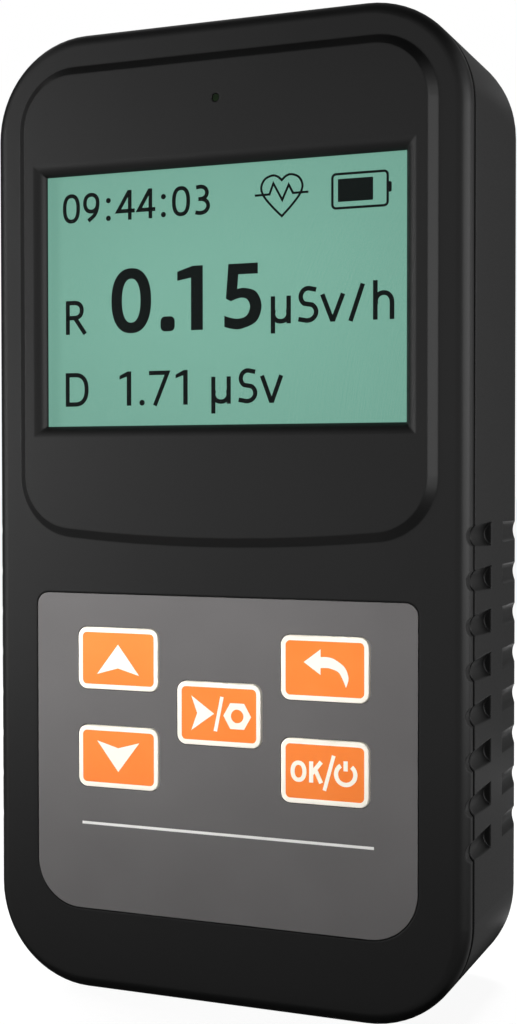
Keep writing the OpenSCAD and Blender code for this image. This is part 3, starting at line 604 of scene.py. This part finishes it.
# strokes of each sign in a box of its own, 0 to 1 across and 0 to 1 up; True closes a stroke
signStrokes = {
    "0": [(ovalPoints((0.5, 0.5), (0.5, 0.5), 2.4), True)],
    "3": [([(0.02, 0.98), (0.30, 1.0)] + arcPoints((0.40, 0.765), (0.50, 0.235), 90, -90, 14)
           + [(0.20, 0.53)], False),
          ([(0.25, 0.53), (0.38, 0.53)] + arcPoints((0.40, 0.265), (0.60, 0.265), 88, -88, 14)
           + [(0.25, 0.0), (-0.04, 0.03)], False)],
    "4": [([(1.04, 0.27), (0.0, 0.27), (0.74, 1.0), (0.82, 1.0), (0.82, 0.0)], False)],
    "7": [([(0.0, 1.0), (1.0, 1.0), (0.28, 0.0)], False)],
    "9": [(ovalPoints((0.49, 0.67), (0.49, 0.33), 2.2), True),
          (curveThrough([(0.98, 0.70), (0.94, 0.46), (0.74, 0.20), (0.26, -0.02)]), False)],
    "R": [([(0.0, 0.0), (0.0, 1.0), (0.40, 1.0)]
           + arcPoints((0.40, 0.745), (0.46, 0.255), 86, -86, 14, 2.3)
           + [(0.40, 0.49), (0.0, 0.49)], False),
          ([(0.46, 0.47), (1.0, 0.0)], False)],
    "D": [([(0.0, 0.0), (0.0, 1.0), (0.36, 1.0)]
           + arcPoints((0.40, 0.5), (0.60, 0.5), 86, -86, 20, 2.4) + [(0.36, 0.0)], True)],
    "S": [([(1.0, 0.95)] + arcPoints((0.53, 0.745), (0.45, 0.255), 72, 238, 16)
           + arcPoints((0.47, 0.262), (0.53, 0.262), 58, -108, 16) + [(-0.06, 0.05)], False)],
    "v": [([(0.0, 1.0), (0.46, 0.0), (0.54, 0.0), (1.0, 1.0)], False)],
    "/": [([(0.0, 0.0), (1.0, 1.0)], False)],
    "h": [([(0.0, 0.0), (0.0, 1.0)], False),
          ([(0.02, 0.44)] + arcPoints((0.5, 0.40), (0.5, 0.30), 170, 0, 14, 2.2)
           + [(1.0, 0.0)], False)],
    "micro": [([(0.0, 1.0), (0.0, -0.42)], False),
              ([(0.02, 0.40)] + arcPoints((0.5, 0.38), (0.5, 0.38), 190, 350, 14, 2.2)
               + [(0.98, 0.40)], False),
              ([(1.0, 1.0), (1.0, 0.0)], False)],
}
# each row: how high it stands, its stroke, and every sign with its left edge and width
displayRows = {
    "clockRow": {
        "base": 96.66, "height": 3.67, "stroke": 0.49,
        "signs": [("0", -21.94, 2.42), ("9", -19.05, 2.33), ("4", -14.40, 2.48),
                  ("4", -11.51, 2.42), ("0", -6.73, 2.43), ("3", -3.76, 2.13)],
        "dots": [(-15.50, 99.20, 0.33), (-15.50, 97.00, 0.33), (-7.90, 99.20, 0.33),
                 (-7.90, 97.00, 0.33)],
    },
    "rateLetter": {"base": 82.66, "height": 4.26, "stroke": 0.55, "signs": [("R", -21.57, 2.86)]},
    "doseLetter": {"base": 73.58, "height": 4.25, "stroke": 0.55, "signs": [("D", -21.63, 3.25)]},
    "doseFigure": {
        "base": 73.51, "height": 4.32, "stroke": 0.53, "signs": [("7", -9.92, 2.79)],
        "dots": [(-10.89, 73.92, 0.36)],
    },
    "rateUnitTall": {"base": 83.03, "height": 4.38, "stroke": 0.56,
                     "signs": [("S", 9.70, 2.68), ("/", 16.21, 1.90)]},
    "rateUnitLow": {"base": 83.06, "height": 3.30, "stroke": 0.56,
                    "signs": [("micro", 6.31, 2.58), ("v", 12.70, 2.95)]},
    "rateUnitLast": {"base": 83.10, "height": 4.61, "stroke": 0.56, "signs": [("h", 19.18, 2.60)]},
    "doseUnitTall": {"base": 73.60, "height": 4.24, "stroke": 0.54, "signs": [("S", 1.97, 2.59)]},
    "doseUnitLow": {"base": 73.60, "height": 3.32, "stroke": 0.54,
                    "signs": [("micro", -1.50, 2.58), ("v", 4.99, 2.84)]},
}
# the figure one is a stem with a slanting flag: the stem's left and right, foot and top, the
# flag's tip with its x and lower and upper z, and the height where the flag joins the stem
figureOnes = {
    "rateOne": {"stem": (-4.19, -2.62), "foot": 82.67, "top": 90.53,
                "tip": (-6.04, 88.78, 89.95), "join": 89.1},
    "doseOneLeft": {"stem": (-13.00, -12.39), "foot": 73.58, "top": 77.84,
                    "tip": (-14.01, 76.86, 77.36), "join": 77.2},
    "doseOneRight": {"stem": (-5.26, -4.67), "foot": 73.58, "top": 77.84,
                     "tip": (-6.29, 76.84, 77.34), "join": 77.2},
}
oneShape = {"topStart": 0.15, "tipDrop": 0.2}  # shares of the stem's width and of the flag's slant
rateNought = {"centre": (-12.36, 86.61), "outside": (2.74, 4.03), "inside": (1.29, 2.72),
              "squareness": 2.3, "steps": 64}
ratePoint = {"low": (-8.32, 82.65), "high": (-6.41, 84.48), "radius": 0.6}
rateFive = {
    "bar": [(0.79, 90.50), (4.63, 90.50), (4.63, 89.20), (2.08, 89.20), (1.94, 87.40),
            (1.70, 86.20), (1.10, 86.00), (0.46, 86.32)],
    "bowlOutside": [(1.80, 87.40), (2.95, 87.53), (4.45, 86.98), (5.11, 85.28), (4.42, 83.45),
                    (2.45, 82.62), (1.20, 82.66), (0.25, 82.92)],
    "bowlInside": [(1.30, 86.10), (2.45, 86.37), (3.28, 86.10), (3.62, 85.22), (3.18, 84.20),
                   (2.20, 83.86), (1.20, 83.96), (0.25, 84.26)],
}
heartSign = {
    "half": [(0.0, 100.15), (-0.55, 100.62), (-1.26, 100.77), (-2.20, 100.36), (-2.64, 99.40),
             (-2.30, 98.36), (-1.24, 97.08), (0.0, 95.86)],
    "middle": 7.73, "stroke": 0.27,
    "pulse": [(4.26, 98.52), (6.16, 98.55), (6.65, 99.84), (7.79, 97.79), (8.62, 99.55),
              (9.18, 98.53), (11.13, 98.55)],
}
batterySign = {
    "low": (13.99, 96.21), "high": (21.10, 100.50), "radius": 0.60, "stroke": 0.29,
    "chargeLow": (14.83, 97.09), "chargeHigh": (19.17, 99.77), "chargeRadius": 0.10,
    "capLow": (20.98, 97.89), "capHigh": (21.44, 99.10), "capRadius": 0.18,
}


def drawRow(work, row):
    stroke = row["stroke"]
    for sign, left, width in row["signs"]:
        for order, (points, closed) in enumerate(signStrokes[sign]):
            spots = [(left + stroke / 2 + u * (width - stroke),
                      row["base"] + stroke / 2 + v * (row["height"] - stroke)) for u, v in points]
            if not closed:
                spots = squareEnds(spots, sign, stroke)
            addStroke(work, spots, stroke, lifted(figureDepth, order), closed)
    for x, z, radius in row.get("dots", []):
        addDot(work, (x, z), radius, figureDepth)


def lifted(depth, order):
    # strokes that cross lie one over the other
    return depth[0] - strokeLift * order, depth[1]


def squareEnds(spots, sign, stroke):
    # straight strokes run on half their width, to the edge of the sign's box
    if sign in ("S", "3", "9"):
        return spots
    ends = list(spots)
    for at, beside in ((0, 1), (-1, -2)):
        away = Vector(spots[at]) - Vector(spots[beside])
        ends[at] = tuple(Vector(spots[at]) + away.normalized() * stroke / 2)
    return ends


def drawOne(work, one):
    left, right = one["stem"]
    tipX, tipLow, tipHigh = one["tip"]
    width = right - left
    slant = (one["top"] - tipHigh) / (right - tipX) * width
    outline = [
        (left, one["foot"]), (right, one["foot"]), (right, one["top"]),
        (left + oneShape["topStart"] * width, one["top"]),
        (tipX, tipHigh - oneShape["tipDrop"] * slant), (tipX, tipLow), (left, one["join"]),
    ]
    addPlate(work, outline, figureDepth)


def drawHeart(work, heart):
    leftHalf = [(heart["middle"] + x, z) for x, z in curveThrough(heart["half"])]
    rightHalf = [(2 * heart["middle"] - x, z) for x, z in leftHalf]
    addStroke(work, leftHalf + rightHalf[-2:0:-1], heart["stroke"], figureDepth, closed=True)
    addStroke(work, heart["pulse"], heart["stroke"], lifted(figureDepth, 1))


def drawBattery(work, battery):
    inset = battery["stroke"]
    outside = roundedLoop(battery["low"], battery["high"], battery["radius"])
    insideLow = [value + inset for value in battery["low"]]
    insideHigh = [value - inset for value in battery["high"]]
    inside = roundedLoop(insideLow, insideHigh, battery["radius"] - inset)
    addBand(work, outside, inside, figureDepth, closed=True)
    charge = roundedLoop(battery["chargeLow"], battery["chargeHigh"], battery["chargeRadius"])
    addPlate(work, charge, figureDepth)
    cap = roundedLoop(battery["capLow"], battery["capHigh"], battery["capRadius"])
    addPlate(work, cap, lifted(figureDepth, 1))


def drawRateFigures(work, nought, point, five):
    outside, inside = [
        ovalPoints(nought["centre"], nought[side], nought["squareness"], nought["steps"])
        for side in ("outside", "inside")
    ]
    addBand(work, outside, inside, figureDepth, closed=True)
    addPlate(work, roundedLoop(point["low"], point["high"], point["radius"]), figureDepth)
    addPlate(work, five["bar"], figureDepth)
    addBand(work, curveThrough(five["bowlOutside"]), curveThrough(five["bowlInside"]),
            lifted(figureDepth, 1))


def makeInk(name, work):
    makePiece("display_" + name, work, "displayInk", "case")


def makeDisplay():
    for name, row in displayRows.items():
        work = bmesh.new()
        drawRow(work, row)
        makeInk(name, work)
    for name, one in figureOnes.items():
        work = bmesh.new()
        drawOne(work, one)
        makeInk(name, work)
    work = bmesh.new()
    drawRateFigures(work, rateNought, ratePoint, rateFive)
    makeInk("rateFigures", work)
    work = bmesh.new()
    drawHeart(work, heartSign)
    drawBattery(work, batterySign)
    makeInk("signs", work)


makeDisplay()
print("display drawn")

# keys: a white border that wraps the edge, and a white symbol on each
keyBorder = {"width": 0.62, "skin": 0.012, "edgeRound": 0.15, "edgeSteps": 5, "skirt": 0.46,
             "sink": 0.03}
keyShape = {"size": (11.11, 7.74), "corner": 1.2, "leastCorner": 0.3, "perCorner": 10}
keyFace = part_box("up_key")[0].y / mm
symbolProud, symbolSunk = 0.02, 0.01  # mm in front of the key's face and in it
symbolDepth = (keyFace - symbolProud, keyFace + symbolSunk)
symbolStroke = 0.52
slashStroke = 0.46
arrowHead = [(0.0, 1.80), (-2.93, -1.98), (0.0, -1.17), (2.93, -1.98)]
setArrow = [(-3.64, 2.15), (-0.60, 0.06), (-3.64, -2.10), (-2.84, 0.03)]
setSlash = [(-0.43, -2.05), (0.45, 2.17)]
setNut = {"centre": (2.45, -0.10), "across": 1.82, "hole": 0.82, "steps": 48}
backArrow = {
    "upper": [(-0.50, 1.39), (0.40, 1.40), (1.28, 1.16), (2.51, 0.28), (2.99, -0.98),
              (2.67, -2.16)],
    "lower": [(-0.50, 0.08), (0.20, 0.12), (0.78, 0.06), (1.77, -0.34), (2.38, -1.38),
              (2.67, -2.16)],
    "head": [(-2.63, 0.72), (-0.50, 2.31), (-0.50, -0.74)],
    "perSpan": 6,
}
okLetters = {
    "ring": ((-3.29, -0.03), (0.75, 1.02)), "ringSquareness": 2.2,
    "stem": -1.68, "foot": -1.27, "top": 1.25, "armFoot": -0.28, "reach": -0.42,
    "legStart": (-1.10, 0.16),
}
okSlash = [(-0.02, -2.12), (1.15, 2.10)]
powerSign = {"centre": (2.64, -0.05), "radius": 1.20, "gap": (52, 121), "ringSteps": 36,
             "bar": (0.35, 1.54), "stroke": 0.53}  # the gap in degrees


def keyCentre(name):
    low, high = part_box(name + "_key")
    middle = (low + high) / 2 / mm
    return middle.x, middle.z


def keyOutline(centre, inset):
    halfX, halfZ = [side / 2 - inset for side in keyShape["size"]]
    low = (centre[0] - halfX, centre[1] - halfZ)
    high = (centre[0] + halfX, centre[1] + halfZ)
    radius = max(keyShape["corner"] - inset, keyShape["leastCorner"])
    return roundedLoop(low, high, radius, keyShape["perCorner"])


def borderSection(border):
    # inset from the key's outline and depth, from the inner lip over the edge to the skirt
    # and back inside
    skin, edge = border["skin"], border["edgeRound"]
    section = [(border["width"], keyFace + border["sink"]), (border["width"], keyFace - skin)]
    for step in range(border["edgeSteps"] + 1):
        angle = math.radians(90 * step / border["edgeSteps"])
        inset = edge - (edge + skin) * math.sin(angle)
        section.append((inset, keyFace + edge - (edge + skin) * math.cos(angle)))
    section.append((-skin, keyFace + border["skirt"]))
    section.append((border["sink"], keyFace + border["skirt"]))
    section.append((edge + border["sink"], keyFace + edge))
    return section


def drawBorder(work, centre):
    loops = []
    for inset, depth in borderSection(keyBorder):
        loops.append([work.verts.new((x, depth, z)) for x, z in keyOutline(centre, inset)])
    for near, far in zip(loops, loops[1:] + loops[:1]):
        for i in range(len(near)):
            j = (i + 1) % len(near)
            work.faces.new((near[i], near[j], far[j], far[i]))


def shifted(points, centre):
    return [(centre[0] + x, centre[1] + z) for x, z in points]


def drawSymbol(work, name, centre):
    if name == "up":
        addPlate(work, shifted(arrowHead, centre), symbolDepth)
    if name == "down":
        addPlate(work, shifted([(x, -z) for x, z in arrowHead], centre), symbolDepth)
    if name == "set":
        addPlate(work, shifted(setArrow, centre), symbolDepth)
        addStroke(work, shifted(setSlash, centre), slashStroke, symbolDepth)
        drawNut(work, setNut, centre)
    if name == "back":
        addPlate(work, shifted(backArrow["head"], centre), symbolDepth)
        upper = shifted(curveThrough(backArrow["upper"], backArrow["perSpan"]), centre)
        lower = shifted(curveThrough(backArrow["lower"], backArrow["perSpan"]), centre)
        # the two sides meet in their last point, so the band stops one short of it
        addBand(work, upper[:-1], lower[:-1], symbolDepth)
    if name == "ok":
        drawOk(work, centre)


def drawNut(work, nut, centre):
    # a six-sided outside round a round hole
    outside, inside = [], []
    for i in range(nut["steps"]):
        angle = 2 * math.pi * i / nut["steps"]
        flat = math.cos(math.pi / 6) / math.cos(angle % (math.pi / 3) - math.pi / 6)
        way = (math.cos(angle), math.sin(angle))
        outside.append([nut["centre"][k] + nut["across"] * flat * way[k] for k in (0, 1)])
        inside.append([nut["centre"][k] + nut["hole"] * way[k] for k in (0, 1)])
    addBand(work, shifted(outside, centre), shifted(inside, centre), symbolDepth, closed=True)


def drawOk(work, centre):
    letters, power = okLetters, powerSign
    letterRing = ovalPoints(*letters["ring"], letters["ringSquareness"])
    addStroke(work, shifted(letterRing, centre), symbolStroke, symbolDepth, closed=True)
    stem = [(letters["stem"], letters["foot"]), (letters["stem"], letters["top"])]
    upper = [(letters["stem"], letters["armFoot"]), (letters["reach"], letters["top"])]
    lower = [letters["legStart"], (letters["reach"], letters["foot"])]
    addStroke(work, shifted(okSlash, centre), slashStroke, symbolDepth)
    for order, stroke in enumerate((stem, upper, lower)):
        addStroke(work, shifted(stroke, centre), symbolStroke, lifted(symbolDepth, order + 1))
    gapStart, gapEnd = power["gap"]
    radii = (power["radius"], power["radius"])
    ring = arcPoints(power["centre"], radii, gapEnd, gapStart + 360, power["ringSteps"])
    addStroke(work, shifted(ring, centre), power["stroke"], symbolDepth)
    bar = [(power["centre"][0], z) for z in power["bar"]]
    addStroke(work, shifted(bar, centre), power["stroke"], symbolDepth)


for name in keyNames:
    centre = keyCentre(name)
    work = bmesh.new()
    drawBorder(work, centre)
    makePiece(name + "_key_border", work, "keyWhitePaintedGlow", name + "_button")
    work = bmesh.new()
    drawSymbol(work, name, centre)
    makePiece(name + "_key_symbol", work, "keyWhitePaintedGlow", name + "_button")
print("key borders and symbols made")

# white rule printed on the overlay under the keys
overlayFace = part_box("keypad_overlay")[0].y / mm
overlayRule = {"left": -18.79, "right": 19.74, "height": 21.20, "thick": 0.34,
               "proud": 0.015, "sunk": 0.01}


def makeRule(rule):
    work = bmesh.new()
    ends = [(rule["left"], rule["height"]), (rule["right"], rule["height"])]
    depth = (overlayFace - rule["proud"], overlayFace + rule["sunk"])
    addStroke(work, ends, rule["thick"], depth)
    makePiece("overlay_rule", work, "ruleWhite", "case")


makeRule(overlayRule)
print("overlay rule made")
